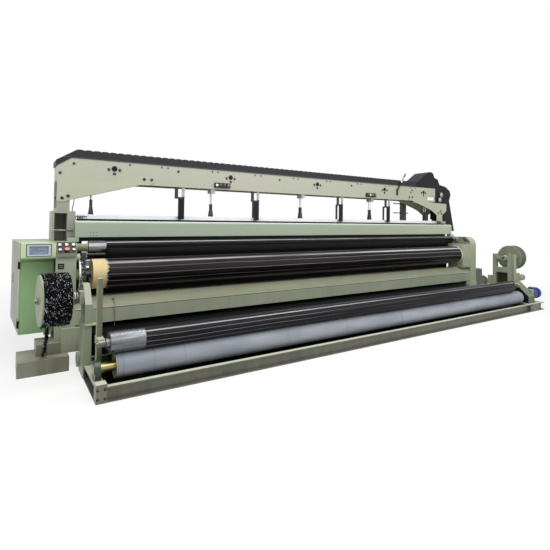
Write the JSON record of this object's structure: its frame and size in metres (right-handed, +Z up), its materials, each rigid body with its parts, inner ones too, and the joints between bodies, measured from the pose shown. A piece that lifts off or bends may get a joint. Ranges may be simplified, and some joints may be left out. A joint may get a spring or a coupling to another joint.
{
  "type": "power loom",
  "caption": "Extra-wide power loom with overhead heald bridge, control cabinet, cloth rollers, waste selvedge reels and a cloth batching stand in front.",
  "frame": {"origin": "middle of the footprint's bounding box, on the floor", "axes": "+X along the loom towards its right hand as the weaver sees it, +Y from the weaver to the warp side, +Z up"},
  "size_m": [8.562, 2.9629, 2.569],
  "materials": {
    "black_cloth": "woven",
    "black_plastic": "moulded",
    "black_sheet": "satin",
    "black_waste": "fuzzy",
    "blue_paint": "gloss",
    "cast_steel": "cast",
    "chrome_roller": "polished",
    "cork_roller": "matt",
    "dark_green_paint": "gloss",
    "foot_paint": "worn",
    "green_paint": "satin",
    "grey_paint": "satin",
    "heald_alloy": "anodised",
    "lamp_plastic": "moulded",
    "olive_paint": "satin",
    "pale_waste": "fuzzy",
    "red_plastic": "moulded",
    "sage_paint": "satin",
    "steel": "machined",
    "white_plastic": "moulded",
    "yarn": "wound"
  },
  "bodies": {
    "loom": {"side_frame_right": "sage_paint", "side_frame_left": "sage_paint", "foot_blocks": "foot_paint", "breast_beam": "sage_paint", "rear_cross_beams": "sage_paint", "roller_bearings": "sage_paint", "cloth_web": "black_cloth", "fascia": "sage_paint", "heald_guides": "black_sheet", "bridge_panels": "sage_paint", "bridge_cover": "black_plastic", "bridge_gussets": "sage_paint", "bridge_columns": "sage_paint", "end_hood": "black_plastic", "signal_lamp": "lamp_plastic", "bridge_stations": "black_plastic", "control_cabinet": "green_paint", "screen_hood": "sage_paint", "operator_boxes": "black_sheet", "cross_sills": "olive_paint", "left_sill_beam": "olive_paint", "right_sill_beam": "olive_paint", "roller_pillow_blocks": "dark_green_paint", "guide_posts": "olive_paint", "chain_guard": "olive_paint", "drive_gearbox": "sage_paint", "drive_motor": "blue_paint", "reel_stand_left": "sage_paint", "selvedge_tail": "black_waste", "reel_stand_right": "olive_paint", "reel_gear_unit": "green_paint", "main_drive": "dark_green_paint"},
    "take_up": {"take_up_roller": "cork_roller", "take_up_cloth": "black_cloth", "take_up_gear": "cast_steel"},
    "pinion": {"take_up_pinion": "cast_steel"},
    "guide": {"guide_roller": "chrome_roller", "guide_roller_cloth": "black_cloth"},
    "sley": {"sley": "black_sheet"},
    "heald_front": {"heald_frame_front": "heald_alloy"},
    "heald_rear": {"heald_frame_rear": "heald_alloy"},
    "door": {"cabinet_door": "green_paint"},
    "warp": {"warp_beam": "steel", "warp_yarn": "yarn"},
    "back_rest": {"back_rest_roller": "steel"},
    "drive_roller": {"drive_roller": "grey_paint"},
    "carriages": {"batch_carriages": "olive_paint"},
    "batch": {"batch_roller": "chrome_roller", "batch_cloth": "black_cloth"},
    "reel_left": {"waste_reel_left": "sage_paint", "waste_winding_left": "black_waste"},
    "reel_right": {"waste_reel_right": "sage_paint", "waste_winding_right": "pale_waste"},
    "button_top_left": {"button_top_left": "white_plastic"},
    "button_top_middle": {"button_top_middle": "white_plastic"},
    "button_top_right": {"button_top_right": "white_plastic"},
    "button_bottom_left": {"button_bottom_left": "white_plastic"},
    "emergency_stop": {"emergency_stop": "red_plastic"},
    "button_bottom_right": {"button_bottom_right": "white_plastic"},
    "button_right_hand": {"button_right_hand": "red_plastic"}
  },
  "joints": [
    {"name": "take_up_spin", "type": "hinge", "parent": "loom", "child": "take_up", "pos_m": [-0.2, -0.2385, 0.915], "axis": [1, 0, 0], "continuous": true},
    {"name": "pinion_spin", "type": "hinge", "parent": "loom", "child": "pinion", "pos_m": [-3.66, -0.28819, 1.10046], "axis": [1, 0, 0], "continuous": true},
    {"name": "guide_spin", "type": "hinge", "parent": "loom", "child": "guide", "pos_m": [-0.2, -0.0485, 1.192], "axis": [1, 0, 0], "continuous": true},
    {"name": "sley_swing", "type": "hinge", "parent": "loom", "child": "sley", "pos_m": [-0.2, 0.2115, 0.5], "axis": [1, 0, 0], "range_deg": [-2.5, 2.5]},
    {"name": "heald_front_lift", "type": "slide", "parent": "loom", "child": "heald_front", "axis": [0, 0, 1], "range_m": [-0.05, 0.05]},
    {"name": "heald_rear_lift", "type": "slide", "parent": "loom", "child": "heald_rear", "axis": [0, 0, 1], "range_m": [-0.05, 0.05]},
    {"name": "door_hinge", "type": "hinge", "parent": "loom", "child": "door", "pos_m": [-4.225, -0.1615, 0.6], "axis": [0, 0, -1], "range_deg": [0, 110]},
    {"name": "warp_beam_spin", "type": "hinge", "parent": "loom", "child": "warp", "pos_m": [-0.2, 1.0815, 0.52], "axis": [1, 0, 0], "continuous": true},
    {"name": "back_rest_spin", "type": "hinge", "parent": "loom", "child": "back_rest", "pos_m": [-0.2, 1.3015, 1], "axis": [1, 0, 0], "continuous": true},
    {"name": "drive_roller_spin", "type": "hinge", "parent": "loom", "child": "drive_roller", "pos_m": [-0.2, -1.2585, 0.222], "axis": [1, 0, 0], "continuous": true},
    {"name": "batch_lift", "type": "slide", "parent": "loom", "child": "carriages", "axis": [0, 0, 1], "range_m": [0, 0.43]},
    {"name": "batch_spin", "type": "hinge", "parent": "carriages", "child": "batch", "pos_m": [-0.2, -1.2585, 0.4282], "axis": [1, 0, 0], "continuous": true},
    {"name": "reel_left_spin", "type": "hinge", "parent": "loom", "child": "reel_left", "pos_m": [-3.741, -0.7285, 0.756], "axis": [0.9971, 0.0767, 0], "continuous": true},
    {"name": "reel_right_spin", "type": "hinge", "parent": "loom", "child": "reel_right", "pos_m": [3.67, -0.801, 0.866], "axis": [1, 0, 0], "continuous": true},
    {"name": "button_top_left_press", "type": "slide", "parent": "loom", "child": "button_top_left", "axis": [0, 0.7071, -0.7071], "range_m": [0, 0.004], "stiffness_N_per_m": 400},
    {"name": "button_top_middle_press", "type": "slide", "parent": "loom", "child": "button_top_middle", "axis": [0, 0.7071, -0.7071], "range_m": [0, 0.004], "stiffness_N_per_m": 400},
    {"name": "button_top_right_press", "type": "slide", "parent": "loom", "child": "button_top_right", "axis": [0, 0.7071, -0.7071], "range_m": [0, 0.004], "stiffness_N_per_m": 400},
    {"name": "button_bottom_left_press", "type": "slide", "parent": "loom", "child": "button_bottom_left", "axis": [0, 0.7071, -0.7071], "range_m": [0, 0.004], "stiffness_N_per_m": 400},
    {"name": "emergency_stop_press", "type": "slide", "parent": "loom", "child": "emergency_stop", "axis": [0, 0.7071, -0.7071], "range_m": [0, 0.004], "stiffness_N_per_m": 400},
    {"name": "button_bottom_right_press", "type": "slide", "parent": "loom", "child": "button_bottom_right", "axis": [0, 0.7071, -0.7071], "range_m": [0, 0.004], "stiffness_N_per_m": 400},
    {"name": "button_right_hand_press", "type": "slide", "parent": "loom", "child": "button_right_hand", "axis": [0, 0.7071, -0.7071], "range_m": [0, 0.004], "stiffness_N_per_m": 400}
  ],
  "couplings": [
    {"joint": "pinion_spin", "follows": "take_up_spin", "ratio": -3},
    {"joint": "guide_spin", "follows": "take_up_spin", "ratio": -2.2958},
    {"joint": "batch_spin", "follows": "drive_roller_spin", "ratio": -1.1077},
    {"joint": "heald_rear_lift", "follows": "heald_front_lift", "ratio": -1}
  ]
}
